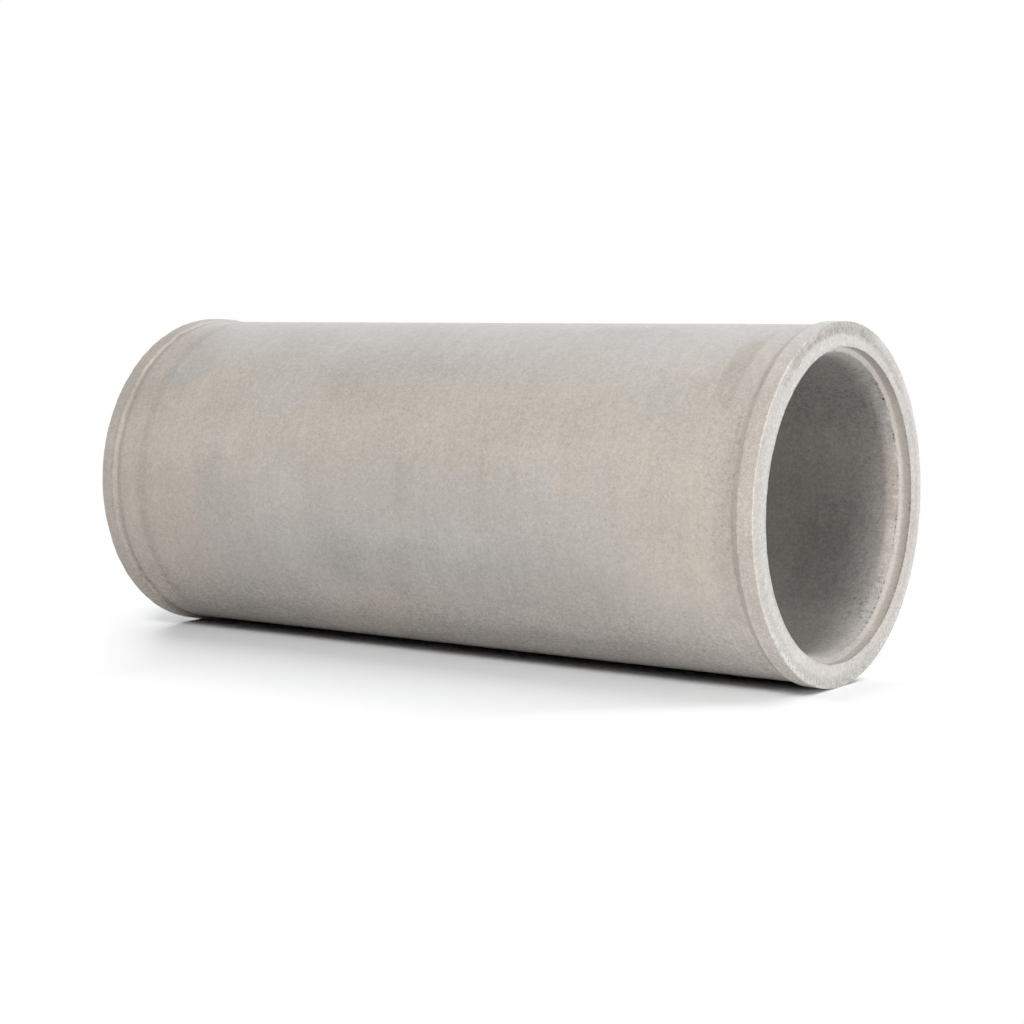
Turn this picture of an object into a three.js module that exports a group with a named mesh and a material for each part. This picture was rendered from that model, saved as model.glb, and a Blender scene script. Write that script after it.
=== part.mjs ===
// Concrete sewer pipe with a rebated joint: one casting, 350 mm bore, laid length one metre.
// Units are millimetres. The pipe lies on its barrel with its axis along X, the socket end
// towards +X and the spigot end towards -X. The floor is the plane z = 0.

import * as THREE from "three";

// Length and diameters
const laidLength = 1000; // from the face of one end band to the face of the other
const boreRadius = 175; // clear waterway
const barrelRadius = 210; // outside of the plain barrel, a 35 mm wall
const bandRadius = 214; // raised bands left by the end rings of the mould
const facets = 120; // flats round the circumference, a multiple of four

// End bands
const bandWidth = 20;
const bandRun = 7; // length of the sloped step from the band down to the barrel
const grooveDepth = 0.5; // shallow line pressed in at the foot of that step
const grooveWidth = 4;

// Mould joint rings, a shallow line round the barrel near each end
const ringInset = 64; // from the end face to the middle of the ring
const ringDepth = 0.5;
const ringWidth = 7;

// Rebated joint: the socket end is cut back inside, and the spigot end stands out to fill it
const rebateRadius = 185;
const rebateDepth = 13;
const spigotRadius = 183; // leaves 2 mm all round for mortar or a sealing strip
const spigotLength = 12; // leaves 1 mm between the spigot and the socket's shoulder

// Rounded edges
const faceArris = 1.5; // outer edge of both end faces
const bandArris = 0.8; // back edge of a band
const mouthArris = 1; // edge of the face at the rebate
const shoulderArris = 2; // edge of the socket's shoulder at the bore
const spigotArris = 2.5; // both edges of the spigot's nose

const quarter = Math.PI / 2;

// A rounded corner: points on an arc about (radius, along), in the plane of the profile.
// The larger arrises get three steps and the small ones two.
function corner(radius, along, roundness, fromAngle, toAngle) {
  const steps = roundness < 1.5 ? 2 : 3;
  return Array.from({ length: steps + 1 }, (_, i) => {
    const angle = fromAngle + ((toAngle - fromAngle) * i) / steps;
    return new THREE.Vector2(
      radius + roundness * Math.cos(angle),
      along + roundness * Math.sin(angle),
    );
  });
}

// A shallow line round the barrel: in from the surface to its bottom, and out again.
function pressedLine(middle, width, depth) {
  return [
    new THREE.Vector2(barrelRadius, middle - width / 2),
    new THREE.Vector2(barrelRadius - depth, middle),
    new THREE.Vector2(barrelRadius, middle + width / 2),
  ];
}

// The outside, from the spigot's nose to the socket's face. "Along" is measured from the
// face of the band at the spigot end.
function outsideProfile() {
  const bandFoot = bandWidth + bandRun;
  const farFoot = laidLength - bandFoot;
  return [
    ...corner(boreRadius + spigotArris, -spigotLength + spigotArris, spigotArris, -2 * quarter, -quarter),
    ...corner(spigotRadius - spigotArris, -spigotLength + spigotArris, spigotArris, -quarter, 0),
    new THREE.Vector2(spigotRadius, 0),
    ...corner(bandRadius - faceArris, faceArris, faceArris, -quarter, 0),
    ...corner(bandRadius - bandArris, bandWidth - bandArris, bandArris, 0, quarter * 0.8),
    ...pressedLine(bandFoot + grooveWidth / 2, grooveWidth, grooveDepth),
    ...pressedLine(ringInset, ringWidth, ringDepth),
    ...pressedLine(laidLength - ringInset, ringWidth, ringDepth),
    ...pressedLine(farFoot - grooveWidth / 2, grooveWidth, grooveDepth),
    ...corner(bandRadius - bandArris, laidLength - bandWidth + bandArris, bandArris, -quarter * 0.8, 0),
    ...corner(bandRadius - faceArris, laidLength - faceArris, faceArris, 0, quarter),
  ];
}

// The socket end, from its face into the rebate and round the shoulder to the bore.
function socketProfile() {
  const shoulder = laidLength - rebateDepth;
  return [
    ...corner(rebateRadius + mouthArris, laidLength - mouthArris, mouthArris, quarter, 2 * quarter),
    new THREE.Vector2(rebateRadius, shoulder),
    ...corner(boreRadius + shoulderArris, shoulder - shoulderArris, shoulderArris, quarter, 2 * quarter),
  ];
}

// The closed section is turned once round the axis. LatheGeometry turns about Y.
function pipeGeometry() {
  const section = [...outsideProfile(), ...socketProfile()];
  section.push(section[0].clone());
  const geometry = new THREE.LatheGeometry(section, facets);
  geometry.rotateY(Math.PI / facets); // half a facet, so that a flat and not an edge is underneath
  geometry.rotateZ(-quarter); // the axis comes to lie along +X
  return geometry;
}

const concrete = new THREE.MeshStandardMaterial({
  color: new THREE.Color(0.62, 0.59, 0.55),
  roughness: 0.9,
  metalness: 0,
});

const pipe = new THREE.Mesh(pipeGeometry(), concrete);
pipe.name = "concrete_pipe";
// The middle of the overall length stands over the origin, and the bands touch the floor.
pipe.position.set(
  -(laidLength - spigotLength) / 2,
  0,
  bandRadius * Math.cos(Math.PI / facets),
);

const part = new THREE.Group();
part.name = "concrete_sewer_pipe";
part.add(pipe);

export default part;
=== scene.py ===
"""A precast concrete sewer pipe, lying on its side on a pale studio floor."""

import math

import bmesh
import bpy
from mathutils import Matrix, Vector, noise


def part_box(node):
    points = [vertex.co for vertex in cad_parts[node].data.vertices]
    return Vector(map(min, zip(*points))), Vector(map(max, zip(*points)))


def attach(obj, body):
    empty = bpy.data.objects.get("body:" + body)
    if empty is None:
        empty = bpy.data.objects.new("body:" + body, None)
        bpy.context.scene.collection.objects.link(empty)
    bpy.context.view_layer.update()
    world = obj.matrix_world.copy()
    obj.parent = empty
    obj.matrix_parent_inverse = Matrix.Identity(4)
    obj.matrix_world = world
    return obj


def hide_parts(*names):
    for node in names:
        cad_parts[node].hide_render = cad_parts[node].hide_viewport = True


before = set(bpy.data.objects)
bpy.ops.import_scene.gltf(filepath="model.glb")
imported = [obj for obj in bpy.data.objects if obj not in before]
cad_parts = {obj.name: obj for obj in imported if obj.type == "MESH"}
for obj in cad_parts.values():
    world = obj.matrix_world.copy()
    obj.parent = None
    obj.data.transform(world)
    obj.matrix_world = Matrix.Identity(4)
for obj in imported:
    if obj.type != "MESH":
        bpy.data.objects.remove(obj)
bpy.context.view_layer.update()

# ---------------------------------------------------------------------------------------------------------
# The casting. One body of dry vibrated concrete, struck from a steel mould: a plain barrel with a raised
# band at both ends, a rebated socket towards +X and a short spigot towards -X. The cast section is drawn
# once, its arrises are rounded, it is spun round the pipe's axis, and then its arrises are worn.

low_corner, high_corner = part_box("concrete_pipe")
axis_height = (low_corner.z + high_corner.z) / 2
socket_face = high_corner.x
spigot_nose = low_corner.x

bore_radius = 0.175
barrel_radius = 0.210
trim = 0.00002  # keeps the bands just inside the casting's box
band_radius = (high_corner.z - low_corner.z) / 2 - trim
spigot_radius = 0.183
rebate_radius = 0.185
lip_radius = 0.179  # the core drew the lip of the bore out a little behind the shoulder
lip_run = 0.014
spigot_length = 0.012
rebate_depth = 0.013
band_width = 0.020
socket_slope_run = 0.007  # the sloped step from a band down to the barrel
spigot_slope_run = 0.004
groove_width = 0.004
groove_depth = 0.0005
ring_inset = 0.064  # mould joint ring, from the end face
ring_width = 0.007
ring_depth = 0.0005

spigot_face = spigot_nose + spigot_length
shoulder = socket_face - rebate_depth
steps_round = 800


def pressed_line(middle, width, depth):
    """Corners of a shallow line pressed in round the barrel."""
    return [
        (middle - width / 2, barrel_radius),
        (middle - width / 6, barrel_radius - depth),
        (middle + width / 6, barrel_radius - depth),
        (middle + width / 2, barrel_radius),
    ]


def band_end(face, inwards, slope_run):
    """Corners of one end of the outside, from the face's arris to the mould joint ring."""
    foot = face + inwards * (band_width + slope_run)
    corners = [(face, band_radius), (face + inwards * band_width, band_radius)]
    groove = pressed_line(foot + inwards * groove_width / 2, groove_width, groove_depth)
    ring = pressed_line(face + inwards * ring_inset, ring_width, ring_depth)
    return corners + sorted(groove + ring, key=lambda c: c[0] * inwards)


section = [
    (spigot_nose, bore_radius),
    (spigot_nose, spigot_radius),
    (spigot_face, spigot_radius),
    *band_end(spigot_face, 1, spigot_slope_run),
    *reversed(band_end(socket_face, -1, socket_slope_run)),
    (socket_face, rebate_radius),
    (shoulder, rebate_radius),
    (shoulder, lip_radius),
    (shoulder - lip_run, bore_radius),
]

mesh = bmesh.new()
corners = [mesh.verts.new((x, 0, axis_height + radius)) for x, radius in section]
for corner, after in zip(corners, corners[1:] + corners[:1]):
    mesh.edges.new((corner, after))


def corner_at(x, radius):
    """The corner of the section nearest to a place on it."""
    place = Vector((x, 0, axis_height + radius))
    return min(mesh.verts, key=lambda v: (v.co - place).length)


arrises = [
    (socket_face, band_radius, 0.0008, 3),
    (spigot_face, band_radius, 0.0008, 3),
    (socket_face - band_width, band_radius, 0.0008, 2),
    (spigot_face + band_width, band_radius, 0.0008, 2),
    (socket_face, rebate_radius, 0.0006, 2),
    (shoulder, rebate_radius, 0.0028, 4),
    (shoulder, lip_radius, 0.0010, 2),
    (shoulder - lip_run, bore_radius, 0.004, 3),
    (spigot_nose, spigot_radius, 0.0025, 3),
    (spigot_nose, bore_radius, 0.0025, 3),
]
for x, radius, roundness, segments in arrises:
    bmesh.ops.bevel(
        mesh,
        geom=[corner_at(x, radius)],
        offset=roundness,
        offset_type="OFFSET",
        affect="VERTICES",
        segments=segments,
        profile=0.5,
        material=-1,
    )

# A corner close to each end of every flat keeps the shading of the arrises off it; then the flats are cut
# up, finely near both ends, where the wear needs it.
shortest_flat = 0.004
margin = 0.001
for edge in list(mesh.edges):
    if edge.calc_length() > shortest_flat:
        first, last = edge.verts
        bmesh.utils.edge_split(edge, first, margin / (last.co - first.co).length)
for edge in list(mesh.edges):
    if edge.calc_length() > shortest_flat:
        first, last = edge.verts
        cut_at_first = any(e.calc_length() < 1.1 * margin for e in first.link_edges)
        nearer = last if cut_at_first else first
        bmesh.utils.edge_split(edge, nearer, margin / (last.co - first.co).length)

end_reach = 0.03
longest_at_end = 0.0055
longest_between = 0.070
for edge in list(mesh.edges):
    middle = (edge.verts[0].co.x + edge.verts[1].co.x) / 2
    at_end = middle > socket_face - end_reach or middle < spigot_face + end_reach
    longest = longest_at_end if at_end else longest_between
    cuts = math.ceil(edge.calc_length() / longest) - 1
    if cuts > 0:
        bmesh.ops.subdivide_edges(mesh, edges=[edge], cuts=cuts)

bmesh.ops.spin(
    mesh,
    geom=mesh.verts[:] + mesh.edges[:],
    cent=(0, 0, axis_height),
    axis=(1, 0, 0),
    dvec=(0, 0, 0),
    angle=math.tau,
    steps=steps_round,
    use_merge=True,
    use_duplicate=False,
)
bmesh.ops.recalc_face_normals(mesh, faces=mesh.faces[:])

# Wear, always into the concrete, of the places near either end. Each arris has its place (x, radius), the
# way into the concrete from it (x, radius), its reach, its even wear and the depth of its chips.
worn_arrises = [
    (socket_face, band_radius, -1, -1, 0.0035, 0.0001, 0.0014),
    (socket_face, rebate_radius, -1, 1, 0.0025, 0.0002, 0.0020),
    (shoulder, lip_radius, -1, 1, 0.0035, 0.0006, 0.0045),
    (socket_face - band_width, band_radius, 0, -1, 0.0030, 0.0002, 0.0006),
    (spigot_face + band_width, band_radius, 0, -1, 0.0030, 0.0003, 0.0008),
    (spigot_face, band_radius, 1, -1, 0.0035, 0.0003, 0.0012),
    (spigot_nose, spigot_radius, 1, -1, 0.0040, 0.0005, 0.0035),
    (spigot_nose, bore_radius, 1, 1, 0.0040, 0.0005, 0.0035),
]
worn_from = 0.40
wave_scale = 70
chip_scale = 330
chip_threshold = 0.28
for vert in [v for v in mesh.verts if abs(v.co.x) > worn_from]:
    x, y, z = vert.co.x, vert.co.y, vert.co.z - axis_height
    radius = math.hypot(y, z)
    moved_x = moved_radius = 0.0
    for arris_x, arris_radius, way_x, way_radius, reach, even, chip in worn_arrises:
        away = math.hypot(x - arris_x, radius - arris_radius)
        if away < reach:
            near = 1 - away / reach
            waving = 0.5 + noise.noise(Vector((x, y, z)) * wave_scale + Vector((arris_x * 9, 3, 1)))
            spot = noise.noise(Vector((x, y, z)) * chip_scale + Vector((5, arris_radius * 70, 2)))
            in_by = near * (even * max(waving, 0) + chip * max(spot - chip_threshold, 0))
            moved_x += way_x * in_by
            moved_radius += way_radius * in_by
    if moved_x or moved_radius:
        scale = (radius + moved_radius) / radius
        vert.co = (x + moved_x, y * scale, axis_height + z * scale)

# The core that formed the bore stood a little off the mould's axis, and the band at the spigot end leans:
# its foot stands further out than its top, while the nose inside it is square. Low on the -Y side that band
# is a little thick, where the mould didn't close fully.
band_lean = 0.022
lean_start = -0.30
lean_run = 0.14
swell = 0.0015
swell_middle = 52  # degrees below the level of the axis
swell_half = 32
core_shift_y = 0.0020
core_shift_z = -0.0008
core_reach = 0.200  # the shift is whole inside the rebate's radius and none beyond this one
for vert in mesh.verts:
    x, y, z = vert.co.x, vert.co.y, vert.co.z - axis_height
    radius = math.hypot(y, z)
    below = math.degrees(math.atan2(-z, -y))
    raised = min(max((radius - barrel_radius) / (band_radius - barrel_radius), 0), 1)
    if x < 0 and raised:
        scale = 1 + swell * raised * max(1 - ((below - swell_middle) / swell_half) ** 2, 0) / radius
        vert.co = (x, y * scale, axis_height + z * scale)
    share = min(max((core_reach - radius) / (core_reach - rebate_radius), 0), 1)
    vert.co.y += core_shift_y * share
    vert.co.z += core_shift_z * share
    leaning = min(max((lean_start - x) / lean_run, 0), 1, (x - spigot_nose) / spigot_length)
    vert.co.x += band_lean * z * leaning

casting_mesh = bpy.data.meshes.new("pipe_casting")
mesh.to_mesh(casting_mesh)
mesh.free()
casting_mesh.shade_smooth()
casting = bpy.data.objects.new("pipe_casting", casting_mesh)
bpy.context.scene.collection.objects.link(casting)

# Its concrete: warm grey cement skin, clouded tan and blue grey where it dried unevenly, paler along the
# top, darker in the bore, with a sandy grain, pinholes, and stains in the rings and along the socket.
# Shade and highlights are also painted into this colour, in the places marked below.
concrete = bpy.data.materials.new("concrete")
concrete.use_nodes = True
nodes = concrete.node_tree.nodes
links = concrete.node_tree.links
skin = nodes["Principled BSDF"]
skin.inputs["Roughness"].default_value = 0.9
casting.data.materials.append(concrete)

# Places are read from the pipe's axis: x along it, y towards the -Y side and z down.
centred = nodes.new("ShaderNodeMapping")
centred.inputs["Location"].default_value = (0, 0, axis_height)
centred.inputs["Scale"].default_value = (1, -1, -1)
links.new(nodes.new("ShaderNodeTexCoord").outputs["Object"], centred.inputs["Vector"])
place = centred.outputs["Vector"]
parts = nodes.new("ShaderNodeSeparateXYZ")
links.new(place, parts.inputs["Vector"])
along = parts.outputs["X"]


def maths(operation, *terms):
    """One maths node; each term is a number or another node's output."""
    step = nodes.new("ShaderNodeMath")
    step.operation = operation
    for socket, term in zip(step.inputs, terms):
        if isinstance(term, (int, float)):
            socket.default_value = term
        else:
            links.new(term, socket)
    return step.outputs["Value"]


def ramp(term, start, end):
    """A soft step, 0 at the start and 1 at the end."""
    step = nodes.new("ShaderNodeMapRange")
    step.interpolation_type = "SMOOTHSTEP"
    step.clamp = False  # a smooth step ends by itself
    step.inputs["From Min"].default_value = start
    step.inputs["From Max"].default_value = end
    links.new(term, step.inputs["Value"])
    return step.outputs["Result"]


def cloud(scale, detail, stretch=(1, 1, 1), shift=(0, 0, 0), roughness=0.5):
    """Noise in the casting's own metres; returns its grey value."""
    placing = nodes.new("ShaderNodeMapping")
    placing.inputs["Scale"].default_value = stretch
    placing.inputs["Location"].default_value = shift
    links.new(place, placing.inputs["Vector"])
    step = nodes.new("ShaderNodeTexNoise")
    step.inputs["Scale"].default_value = scale
    step.inputs["Detail"].default_value = detail
    step.inputs["Roughness"].default_value = roughness
    links.new(placing.outputs["Vector"], step.inputs["Vector"])
    return step.outputs["Fac"]


# The skin unrolled: x along the pipe, y down the side from level with the axis, both in metres. The drifts
# make the ovals on it cloudy, and the wavering makes the rings and edges ragged.
squares = [maths("POWER", parts.outputs[axis], 2) for axis in ("Y", "Z")]
radius_out = maths("SQRT", maths("ADD", *squares))
down = maths("MULTIPLY", maths("ARCTAN2", parts.outputs["Z"], parts.outputs["Y"]), barrel_radius)
drift_reach = 0.10
drifting = maths("SUBTRACT", cloud(14, 5, roughness=0.65), 0.5)
drift_x = maths("MULTIPLY_ADD", drifting, drift_reach, along)
drifting = maths("SUBTRACT", cloud(14, 5, shift=(7, 3, 5), roughness=0.65), 0.5)
drift_y = maths("MULTIPLY_ADD", drifting, drift_reach, down)
unrolled = nodes.new("ShaderNodeCombineXYZ")
links.new(drift_x, unrolled.inputs["X"])
links.new(drift_y, unrolled.inputs["Y"])
wavering = maths("SUBTRACT", cloud(40, 4, roughness=0.6), 0.5)
along_ring = maths("MULTIPLY_ADD", wavering, 0.006, along)
along_lean = maths("MULTIPLY_ADD", parts.outputs["Z"], band_lean, along_ring)
radius_ring = maths("MULTIPLY_ADD", wavering, 0.008, radius_out)
speckle = cloud(330, 2, shift=(4, 4, 0), roughness=0.7)
mottle = cloud(150, 3, shift=(2, 5, 1), roughness=0.65)
mottled = ramp(mottle, 0.54, 0.62)


def degrees_down(degrees):
    """Metres down the unrolled skin."""
    return math.radians(degrees) * barrel_radius


def patch(x, degrees, half_x, half_degrees, soft=0.5):
    """A soft oval on the unrolled skin, degrees below the level of the axis on the -Y side."""
    placing = nodes.new("ShaderNodeVectorMath")
    placing.operation = "MULTIPLY_ADD"
    links.new(unrolled.outputs["Vector"], placing.inputs[0])
    placing.inputs[1].default_value = (1 / half_x, 1 / degrees_down(half_degrees), 0)
    placing.inputs[2].default_value = (-x / half_x, -degrees / half_degrees, 0)
    length = nodes.new("ShaderNodeVectorMath")
    length.operation = "LENGTH"
    links.new(placing.outputs["Vector"], length.inputs[0])
    return ramp(length.outputs["Value"], 1 + soft, 1 - soft)


def strip(term, start, end, soft):
    """1 between two values, fading to 0 over the softness outside them."""
    return maths("MULTIPLY", ramp(term, start - soft, start), ramp(term, end + soft, end))


def sector(degrees, half_degrees, soft_degrees):
    """1 within a range of angles round the axis, degrees below level on the -Y side."""
    turn = math.radians(degrees)
    pointing = nodes.new("ShaderNodeVectorMath")
    pointing.operation = "DOT_PRODUCT"
    links.new(place, pointing.inputs[0])
    pointing.inputs[1].default_value = (0, math.cos(turn), math.sin(turn))
    cosine = maths("MULTIPLY_ADD", wavering, 0.3, maths("DIVIDE", pointing.outputs["Value"], radius_out))
    fade_from = math.cos(math.radians(half_degrees + soft_degrees))
    return ramp(cosine, fade_from, math.cos(math.radians(max(half_degrees - soft_degrees, 0))))


def both(first, *others):
    """Where all the zones meet."""
    for other in others:
        first = maths("MULTIPLY", first, other)
    return first


def blend(factor, first, second):
    """The first colour with the second mixed over it; the first may be a node's output."""
    step = nodes.new("ShaderNodeMix")
    step.data_type = "RGBA"
    for socket_name, term in (("Factor", factor), ("A", first), ("B", second)):
        socket = step.inputs[socket_name]
        if isinstance(term, tuple):
            socket.default_value = (*term, 1)
        else:
            links.new(term, socket)
    return step.outputs["Result"]


def tinted(hue, zones):
    """A hue with each zone's colour mixed over it, by its share."""
    for zone, share, colour in zones:
        hue = blend(maths("MULTIPLY", zone, share), hue, colour)
    return hue


def toned(tone, zones):
    """A tone raised or lowered in each zone."""
    for zone, change in zones:
        tone = maths("MULTIPLY_ADD", zone, change, tone)
    return tone


# Where on the casting: the outside, the socket's face and its outer edge, the band by it, the band at the
# far end, the rebate's wall, the shoulder, the bore, and the pitted lip between the last two.
outside = ramp(radius_out, 0.2050, 0.2070)
on_face = ramp(along, socket_face - 0.0012, socket_face - 0.0004)
on_edge = both(on_face, ramp(radius_out, 0.2060, 0.2085))
on_band = both(strip(along, 0.4868, socket_face - 0.0010, 0.0010), outside)
far_band = both(ramp(along_lean, -0.4715, -0.4735), outside)
far_slope = both(strip(along_lean, -0.4735, -0.4710, 0.0008), outside)
far_foot = both(strip(along_lean, -0.4700, -0.4638, 0.0020), outside)
in_rebate = ramp(radius_out, 0.192, 0.190)
on_wall = both(strip(along, shoulder + 0.0010, socket_face - 0.0008, 0.0008), in_rebate)
on_shoulder = both(strip(along, shoulder - 0.0010, shoulder + 0.0003, 0.0005), in_rebate)
in_bore = both(ramp(along, shoulder - 0.0004, shoulder - 0.0014), in_rebate)
at_lip = both(strip(along, shoulder - 0.0030, shoulder, 0.0006), ramp(radius_out, 0.1812, 0.1804))
pitted = both(ramp(cloud(26, 3, shift=(6, 1, 2)), 0.42, 0.53), sector(172, 56, 16))

# Hue of the skin: tan clouds at both ends and along the shoulder of the barrel, pale and cool on top; on
# the socket's face the outer edge and the +Y side are tan. Each is mixed over the ones before it.
warm_grey = (0.501, 0.470, 0.437)
tan = (0.523, 0.468, 0.416)
cool_grey = (0.487, 0.471, 0.462)
face_grey = (0.488, 0.470, 0.451)
bore_grey = (0.498, 0.470, 0.445)
far_side = sector(-172, 40, 12)
top_side = ramp(maths("ABSOLUTE", maths("ADD", drift_y, 0.33)), 0.155, 0.070)
hue = tinted(warm_grey, [
    (patch(-0.395, -12, 0.085, 42, 0.3), 1, tan),
    (patch(0.405, -8, 0.080, 38, 0.3), 1, tan),
    (patch(0.06, -26, 0.44, 15, 0.3), 1, tan),
    (patch(-0.30, -38, 0.05, 9), 0.9, tan),
    (patch(-0.26, -12, 0.05, 7), 0.9, tan),
    (patch(-0.10, -11, 0.07, 6), 0.7, tan),
])
hue = tinted(hue, [
    (patch(0.28, -8, 0.03, 6), 1, tan),
    (patch(-0.39, 34, 0.05, 20), 0.6, tan),
    (patch(-0.02, 43, 0.07, 7), 0.5, tan),
    (patch(-0.12, 55, 0.08, 5), 0.6, tan),
    (patch(-0.39, -42, 0.035, 6), 0.7, cool_grey),
    (patch(-0.20, -33, 0.05, 5), 0.5, cool_grey),
    (patch(0.37, -36, 0.03, 7), 0.4, cool_grey),
])
hue = tinted(hue, [
    (both(far_side, ramp(cloud(5, 3, shift=(2, 2, 2)), 0.5, 0.6)), 1, tan),
    (top_side, 1, cool_grey),
    (patch(0.00, 18, 0.20, 8), 0.4, cool_grey),
    (both(ramp(along_lean, -0.410, -0.455), sector(-8, 66, 22)), 0.9, tan),
    (both(ramp(along_ring, 0.420, 0.445), sector(-12, 44, 18)), 0.6, tan),
    (both(strip(along_ring, 0.4780, 0.4855, 0.003), sector(-20, 44, 18)), 0.8, tan),
    (both(strip(along_ring, 0.4280, 0.4500, 0.010), sector(-50, 15, 10)), 0.6, tan),
])
hue = tinted(hue, [
    (in_bore, 1, bore_grey),
    (both(in_bore, ramp(along_ring, 0.466, 0.478), sector(178, 22, 18)), 0.6, tan),
    (on_wall, 1, warm_grey),
    (both(on_wall, sector(165, 60, 20)), 0.5, tan),
    (on_face, 1, face_grey),
    (both(on_edge, sector(-18, 40, 22)), 0.4, tan),
    (both(on_face, ramp(radius_out, 0.2106, 0.2114), sector(-18, 40, 22)), 0.5, tan),
    (both(on_face, ramp(radius_ring, 0.199, 0.204), sector(-82, 26, 16)), 0.3, tan),
    (both(on_face, ramp(radius_ring, 0.212, 0.188), sector(148, 36, 22)), 0.7, tan),
])

# Tone of the skin: one soft oval a line, then the rings and bands, the socket's face, its edge, the rebate
# and the bore, and last the grain.
tone = 1.0
for x, degrees, half_x, half_degrees, change in [
    (-0.03, -44, 0.13, 13, -0.06),
    (-0.02, 23, 0.12, 9, -0.05),
    (-0.08, 24, 0.022, 9, -0.05),
    (0.00, 23, 0.020, 10, -0.06),
    (0.20, 24, 0.10, 8, -0.03),
    (0.26, -72, 0.09, 5, -0.06),
    (-0.20, 0, 0.05, 12, 0.05),
    (-0.29, -15, 0.10, 12, 0.04),
    (0.10, 12, 0.05, 5, 0.04),
    (0.02, -6, 0.020, 6, -0.05),
    (-0.30, -2, 0.020, 8, -0.05),
    # Painted light brightening the underside near the socket end.
    (0.41, 42, 0.085, 26, 0.16),
    (0.02, 45, 0.30, 8, 0.05),
    (-0.44, -45, 0.07, 24, -0.09),
    (0.26, -45, 0.06, 12, 0.05),
    (0.38, -63, 0.11, 18, 0.08),
    (0.33, 2, 0.13, 24, 0.06),
    (0.43, 48, 0.05, 10, 0.07),
    (-0.40, -18, 0.10, 13, 0.06),
    (-0.18, 4, 0.05, 7, 0.04),
    (-0.12, 42, 0.12, 8, 0.04),
    (0.24, 46, 0.16, 8, 0.04),
    (0.04, -50, 0.04, 6, -0.05),
    (-0.44, -66, 0.04, 14, -0.05),
    (0.40, -12, 0.02, 6, 0.05),
    (0.20, -16, 0.05, 4, 0.04),
    (0.24, 48, 0.09, 4, 0.04),
    (-0.12, 52, 0.03, 5, 0.06),
    (-0.12, -40, 0.03, 5, -0.04),
    (-0.446, -4, 0.014, 26, 0.05),
    (0.41, 20, 0.02, 4, -0.04),
    (-0.28, -12, 0.022, 8, 0.07),
    (-0.16, 60, 0.024, 8, 0.09),
    (-0.05, 65, 0.040, 5, -0.11),
    (0.34, 61, 0.040, 7, 0.07),
    (0.02, 20, 0.40, 34, 0.015),
]:
    tone = maths("MULTIPLY_ADD", patch(x, degrees, half_x, half_degrees), change, tone)

tone = toned(tone, [
    (strip(down, degrees_down(68), degrees_down(112), degrees_down(13)), -0.13),  # painted shade along the underside, above the floor
    # Painted shade: the underside darker still towards the spigot end.
    (both(ramp(along, -0.05, -0.38), sector(90, 34, 9)), -0.16),
    (both(strip(along_ring, 0.430, 0.449, 0.010), sector(-52, 15, 10)), -0.15),  # stain in the near ring
    # Painted light, lifting the shade in the near ring's groove on the -Y side.
    (both(strip(along_ring, 0.428, 0.449, 0.008), sector(6, 36, 20)), 0.07),
    (both(strip(along_ring, 0.4795, 0.4846, 0.004), outside), -0.15),  # painted shade on the near band's slope, which faces away from the lamps
    (both(strip(along_ring, 0.4790, 0.4846, 0.004), outside, sector(-54, 14, 10)), -0.07),
    (both(strip(along_ring, 0.4705, 0.4730, 0.0015), outside, sector(-20, 13, 8)), -0.06),
    (both(strip(along_ring, 0.4620, 0.4770, 0.0030), sector(-12, 24, 10), mottled), -0.14),
    (both(strip(along_ring, 0.4360, 0.4560, 0.0050), sector(-12, 24, 10), mottled), -0.11),
    (both(strip(along_ring, 0.4755, 0.4790, 0.0015), outside, sector(22, 18, 10)), -0.07),
    (both(strip(along_ring, 0.4645, 0.4660, 0.0012), outside, sector(-8, 12, 8)), -0.05),
    (both(strip(along_ring, 0.449, 0.476, 0.005), outside, sector(54, 14, 10)), 0.13),
])
tone = toned(tone, [
    (on_band, 0.08),
    (both(on_band, sector(-30, 14, 8)), -0.08),
    (both(on_band, sector(-4, 12, 8)), 0.08),
    (both(on_band, sector(22, 12, 8)), 0.06),
    (both(on_band, sector(58, 20, 12)), 0.28),
    (both(strip(along_ring, 0.478, 0.486, 0.006), outside, sector(50, 20, 14)), 0.17),
    (far_band, -0.06),
    (both(far_band, sector(0, 20, 10)), 0.06),
    (both(ramp(along_lean, -0.4720, -0.4745), outside, sector(56, 12, 10)), 0.02),
    (both(ramp(along_lean, -0.4660, -0.4720), outside, sector(-75, 16, 12)), -0.06),
])
tone = toned(tone, [
    # Painted highlight on the far band's slope, where it faces the lamps.
    (both(far_slope, sector(-70, 20, 18)), 0.28),
    (both(far_slope, sector(-28, 16, 12)), 0.07),
    (both(far_slope, sector(56, 12, 10)), -0.06),
    (both(strip(along_lean, -0.4778, -0.4755, 0.0012), outside, sector(-10, 18, 10)), -0.08),
    # Painted shade in the groove at the foot of the far band's slope.
    (far_foot, -0.09),
    (both(far_foot, sector(42, 26, 12)), -0.09),
    (both(strip(along_lean, -0.4290, -0.4185, 0.005), outside), -0.07),
    (both(strip(along_lean, -0.4310, -0.4230, 0.005), outside, sector(36, 24, 14)), -0.05),
])
face_inside = both(on_face, strip(radius_ring, 0.1895, 0.1965, 0.004))
face_top = both(on_face, ramp(radius_ring, 0.1973, 0.2026), sector(-80, 26, 14))
tone = toned(tone, [
    (on_face, 0.06),
    (face_inside, 0.07),
    (both(face_inside, sector(72, 50, 24)), 0.05),
    (both(on_face, sector(86, 32, 12)), 0.07),
    (both(on_face, ramp(radius_ring, 0.194, 0.190), sector(-30, 50, 20)), 0.04),
    (both(on_face, ramp(radius_ring, 0.204, 0.199), sector(145, 32, 16)), -0.07),
    (both(on_face, ramp(radius_ring, 0.203, 0.200), sector(76, 18, 12)), 0.07),
    (face_top, -0.22),
    (both(face_top, ramp(mottle, 0.44, 0.58)), -0.16),
    (both(on_face, strip(radius_ring, 0.1965, 0.2020, 0.002), sector(-122, 14, 10)), -0.15),
])
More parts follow.
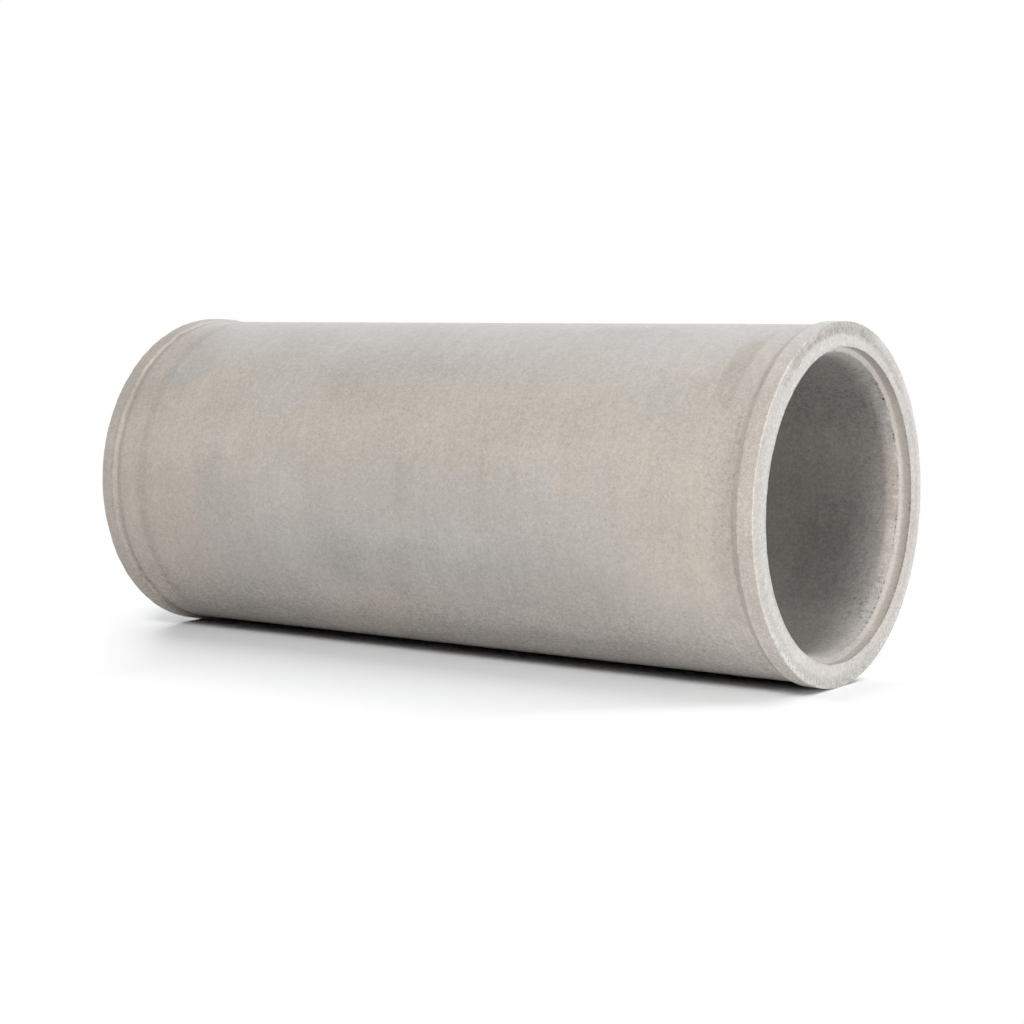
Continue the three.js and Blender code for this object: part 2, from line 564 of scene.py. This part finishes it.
tone = toned(tone, [
    (both(on_face, ramp(radius_ring, 0.205, 0.209), sector(94, 22, 12)), -0.12),
    (both(on_face, ramp(radius_ring, 0.202, 0.206), sector(-165, 24, 14)), 0.09),
    # Painted highlight along the outer arris of the socket's face.
    (on_edge, 0.08),
    (both(on_edge, sector(0, 52, 20)), -0.07),
    (both(on_edge, sector(-28, 8, 10)), -0.06),
    (both(on_edge, sector(54, 16, 14)), 0.08),
    # Painted highlight on the very edge of the face, on the -Y side.
    (both(on_face, ramp(radius_out, 0.2108, 0.2116), sector(-20, 50, 20)), 0.14),
])
tone = toned(tone, [
    (on_wall, 0.05),
    (both(on_wall, sector(-138, 22, 14)), 0.08),
    (both(on_wall, sector(104, 14, 12)), 0.08),
    (both(on_wall, ramp(along, 0.4950, 0.5045)), -0.12),
    (both(on_wall, ramp(along, 0.4960, 0.5045), sector(155, 32, 18)), -0.12),
    (both(on_wall, ramp(along, 0.5032, 0.5046)), -0.12),
    (both(on_wall, ramp(along, 0.5020, 0.5040), ramp(speckle, 0.55, 0.62)), -0.25),
    (on_shoulder, 0.06),
    # Painted shade where the shoulder's rounding faces down, at the top.
    (both(on_shoulder, sector(-115, 28, 16)), -0.14),
])
tone = toned(tone, [
    (both(at_lip, ramp(speckle, 0.47, 0.56), pitted), -0.65),
    # Lighter just behind the shoulder on the +Y side: partly a paler skin, partly painted light of the
    # crescent lit through the mouth.
    (both(in_bore, ramp(along, shoulder - 0.020, shoulder - 0.013), sector(175, 42, 16)), 0.11),
    (in_bore, -0.12),
    # Painted shade along the top of the lip and bore, where they face down.
    (both(in_bore, sector(-110, 34, 18)), -0.14),
    (both(in_bore, strip(along, 0.462, 0.486, 0.006), sector(136, 12, 8), mottled), -0.25),
    (both(in_bore, strip(along, 0.455, 0.490, 0.006), sector(-138, 22, 12), mottled), -0.12),
    (both(in_bore, ramp(along, 0.40, 0.30)), 0.16),
    (both(in_bore, ramp(along_ring, 0.474, 0.464), sector(-124, 20, 18)), -0.12),
    (both(in_bore, strip(along_ring, 0.380, 0.445, 0.030), sector(151, 14, 16)), -0.14),
    (both(in_bore, ramp(along_ring, 0.476, 0.482), sector(160, 9, 8)), 0.14),
    (both(in_bore, ramp(along_ring, 0.340, 0.420), sector(96, 22, 18)), 0.22),
])

for grain, amount in [
    (cloud(9, 4, shift=(1, 0, 4)), 0.18),
    (cloud(6, 3, stretch=(14, 1, 1)), 0.12),  # streaks round the barrel, left by the mould
    (cloud(75, 3, shift=(3, 1, 0)), 0.14),
]:
    tone = maths("MULTIPLY_ADD", maths("SUBTRACT", grain, 0.5), amount, tone)
sand = cloud(500, 2, roughness=0.7)
coarse = cloud(200, 3, shift=(0, 6, 0), roughness=0.6)
sandiness = 0.66
coarseness = 0.40
for zone, more_sand, more_coarse in [
    (in_bore, 0.14, 0.26),
    (on_face, 0.25, 0.35),
    (on_band, 0.35, 0.00),
    (both(outside, sector(96, 56, 16)), 0.65, 0.55),
    (top_side, -0.36, -0.06),
]:
    sandiness = maths("MULTIPLY_ADD", zone, more_sand, sandiness)
    coarseness = maths("MULTIPLY_ADD", zone, more_coarse, coarseness)
tone = maths("MULTIPLY_ADD", maths("SUBTRACT", sand, 0.5), sandiness, tone)
tone = maths("MULTIPLY_ADD", maths("SUBTRACT", coarse, 0.5), coarseness, tone)

# Pinholes where air was trapped against the mould: one in ten cells of a loose net holds one.
net = nodes.new("ShaderNodeTexVoronoi")
net.inputs["Scale"].default_value = 70
links.new(place, net.inputs["Vector"])
net_cell = nodes.new("ShaderNodeSeparateColor")
links.new(net.outputs["Color"], net_cell.inputs["Color"])
pinholes = both(ramp(net.outputs["Distance"], 0.085, 0.050), ramp(net_cell.outputs["Red"], 0.90, 0.91))
tone = maths("MULTIPLY_ADD", pinholes, -0.40, tone)

# Hue times tone is the colour, and the grit and pinholes also stand in the light as a slight bump.
coloured = nodes.new("ShaderNodeVectorMath")
coloured.operation = "SCALE"
links.new(hue, coloured.inputs[0])
links.new(tone, coloured.inputs["Scale"])
links.new(coloured.outputs["Vector"], skin.inputs["Base Color"])

grit = cloud(240, 3, shift=(0, 2, 6), roughness=0.6)
height = maths("MULTIPLY_ADD", grit, 0.5, maths("MULTIPLY", sand, 0.5))
height = maths("MULTIPLY_ADD", pinholes, -0.8, height)
relief = nodes.new("ShaderNodeBump")
relief.inputs["Strength"].default_value = 0.5
relief.inputs["Distance"].default_value = 0.001
links.new(height, relief.inputs["Height"])
links.new(relief.outputs["Normal"], skin.inputs["Normal"])

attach(casting, "root")
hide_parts("concrete_pipe")

# ---------------------------------------------------------------------------------------------------------
# The studio: a matt white floor that keeps the pipe's shadow and runs out to plain white round it, a white
# surround for the camera, and large soft lamps over the pipe and off its two ends.

floor_mesh = bmesh.new()
bmesh.ops.create_circle(floor_mesh, cap_ends=True, segments=96, radius=6)
floor_data = bpy.data.meshes.new("studio_floor")
floor_mesh.to_mesh(floor_data)
floor_mesh.free()
floor = bpy.data.objects.new("studio_floor", floor_data)
bpy.context.scene.collection.objects.link(floor)

floor_paint = bpy.data.materials.new("floor_paint")
floor_paint.use_nodes = True
floor_nodes = floor_paint.node_tree.nodes
floor_links = floor_paint.node_tree.links
floor_nodes.clear()
floor.data.materials.append(floor_paint)

floor_place = floor_nodes.new("ShaderNodeSeparateXYZ")
floor_links.new(floor_nodes.new("ShaderNodeTexCoord").outputs["Object"], floor_place.inputs["Vector"])
floor_x = floor_place.outputs["X"]
floor_y = floor_place.outputs["Y"]
floor_ray = floor_nodes.new("ShaderNodeLightPath")


def floor_math(operation, first, second):
    step = floor_nodes.new("ShaderNodeMath")
    step.operation = operation
    floor_links.new(first, step.inputs[0])
    floor_links.new(second, step.inputs[1])
    return step.outputs["Value"]


def floor_ramp(across, near, far):
    """0 on the pipe's side of a line over the floor, rising to 1 beyond it."""
    step = floor_nodes.new("ShaderNodeMapRange")
    step.interpolation_type = "SMOOTHSTEP"
    step.inputs["From Min"].default_value = near
    step.inputs["From Max"].default_value = far
    floor_links.new(across, step.inputs["Value"])
    return step.outputs["Result"]


behind_mouth = floor_math("MULTIPLY", floor_ramp(floor_x, 0.42, 0.47), floor_ramp(floor_y, 0.03, 0.09))
beside_mouth = floor_math("MULTIPLY", floor_ramp(floor_x, 0.47, 0.53), floor_ramp(floor_y, -0.06, -0.10))
plain_white = floor_math("MAXIMUM", behind_mouth, beside_mouth)
for edge in [
    floor_ramp(floor_y, -0.28, -0.48),
    floor_ramp(floor_y, 0.10, 0.30),
    floor_ramp(floor_x, 0.51, 0.58),
    floor_ramp(floor_math("ADD", floor_x, floor_y), -0.54, -0.74),
    floor_ramp(floor_math("SUBTRACT", floor_x, floor_y), 0.59, 0.70),
]:
    plain_white = floor_math("MAXIMUM", plain_white, edge)
bounce_share = 0.13  # light thrown back into the shadow in front of the pipe
bounce = floor_nodes.new("ShaderNodeMath")
bounce.operation = "MULTIPLY"
bounce.inputs[1].default_value = bounce_share
floor_links.new(floor_ramp(floor_y, -0.03, -0.13), bounce.inputs[0])
plain_white = floor_math("MAXIMUM", plain_white, bounce.outputs["Value"])
plain_white = floor_math("MULTIPLY", plain_white, floor_ray.outputs["Is Camera Ray"])

floor_colour = floor_nodes.new("ShaderNodeMix")
floor_colour.data_type = "RGBA"
floor_colour.inputs["A"].default_value = (0.8, 0.8, 0.8, 1)  # what the pipe's own light meets
floor_colour.inputs["B"].default_value = (0.970, 0.983, 1, 1)  # what the camera sees
floor_links.new(floor_ray.outputs["Is Camera Ray"], floor_colour.inputs["Factor"])
floor_matt = floor_nodes.new("ShaderNodeBsdfDiffuse")
floor_links.new(floor_colour.outputs["Result"], floor_matt.inputs["Color"])
floor_glow = floor_nodes.new("ShaderNodeEmission")
floor_glow.inputs["Color"].default_value = (1, 1, 1, 1)
floor_glow.inputs["Strength"].default_value = 1
floor_blend = floor_nodes.new("ShaderNodeMixShader")
floor_links.new(plain_white, floor_blend.inputs["Fac"])
floor_links.new(floor_matt.outputs["BSDF"], floor_blend.inputs[1])
floor_links.new(floor_glow.outputs["Emission"], floor_blend.inputs[2])
floor_end = floor_nodes.new("ShaderNodeOutputMaterial")
floor_links.new(floor_blend.outputs["Shader"], floor_end.inputs["Surface"])

world = bpy.data.worlds.new("studio")
bpy.context.scene.world = world
world.use_nodes = True
sky = world.node_tree.nodes["Background"]
sky.inputs["Strength"].default_value = 1
sky_ray = world.node_tree.nodes.new("ShaderNodeLightPath")
sky_seen = world.node_tree.nodes.new("ShaderNodeMath")
sky_seen.operation = "ADD"
sky_seen.use_clamp = True
sky_clear = world.node_tree.nodes.new("ShaderNodeMath")
sky_clear.operation = "ADD"
sky_colour = world.node_tree.nodes.new("ShaderNodeMix")
sky_colour.data_type = "RGBA"
sky_colour.inputs["A"].default_value = (0.0, 0.0, 0.0, 1)
sky_colour.inputs["B"].default_value = (1, 1, 1, 1)
world.node_tree.links.new(sky_ray.outputs["Is Glossy Ray"], sky_clear.inputs[0])
world.node_tree.links.new(sky_ray.outputs["Is Transmission Ray"], sky_clear.inputs[1])
world.node_tree.links.new(sky_ray.outputs["Is Camera Ray"], sky_seen.inputs[0])
world.node_tree.links.new(sky_clear.outputs["Value"], sky_seen.inputs[1])
world.node_tree.links.new(sky_seen.outputs["Value"], sky_colour.inputs["Factor"])
world.node_tree.links.new(sky_colour.outputs["Result"], sky.inputs["Color"])

lamp_aim = Vector((0, 0, 0.2))
lamps = [  # name, place, width, height, watts
    ("over_camera_side", (0.80, -2.4, 1.9), 0.6, 0.6, 52),
    ("over_far_side", (0, 1.8, 2.2), 2.4, 1.2, 40),
    ("far_side", (0, 3.0, 1.4), 2.4, 1.2, 27),
    ("over_spigot_end", (-2.2, 0, 2.2), 1.6, 1.6, 36),
    ("over_socket_end", (2.2, 0, 2.2), 1.6, 1.6, 18),
    ("low_socket_end", (3.0, 0, 0.35), 1.6, 0.6, 37),
]
for lamp_name, lamp_place, lamp_width, lamp_height, watts in lamps:
    lamp_data = bpy.data.lights.new(lamp_name, "AREA")
    lamp_data.shape = "RECTANGLE"
    lamp_data.size = lamp_width
    lamp_data.size_y = lamp_height
    lamp_data.energy = watts
    lamp = bpy.data.objects.new(lamp_name, lamp_data)
    lamp.location = lamp_place
    lamp.rotation_euler = (lamp_aim - lamp.location).to_track_quat("-Z", "Y").to_euler()
    bpy.context.scene.collection.objects.link(lamp)

camera_data = bpy.data.cameras.new("camera")
camera_data.sensor_width = 36
camera_data.lens = 75.304
camera = bpy.data.objects.new("camera", camera_data)
camera.location = (1.63345, -2.24347, 0.43936)
camera.rotation_euler = (math.radians(90 - 5.364), 0, math.radians(35.486))
bpy.context.scene.collection.objects.link(camera)
bpy.context.scene.camera = camera

bpy.context.scene.view_settings.view_transform = "Standard"
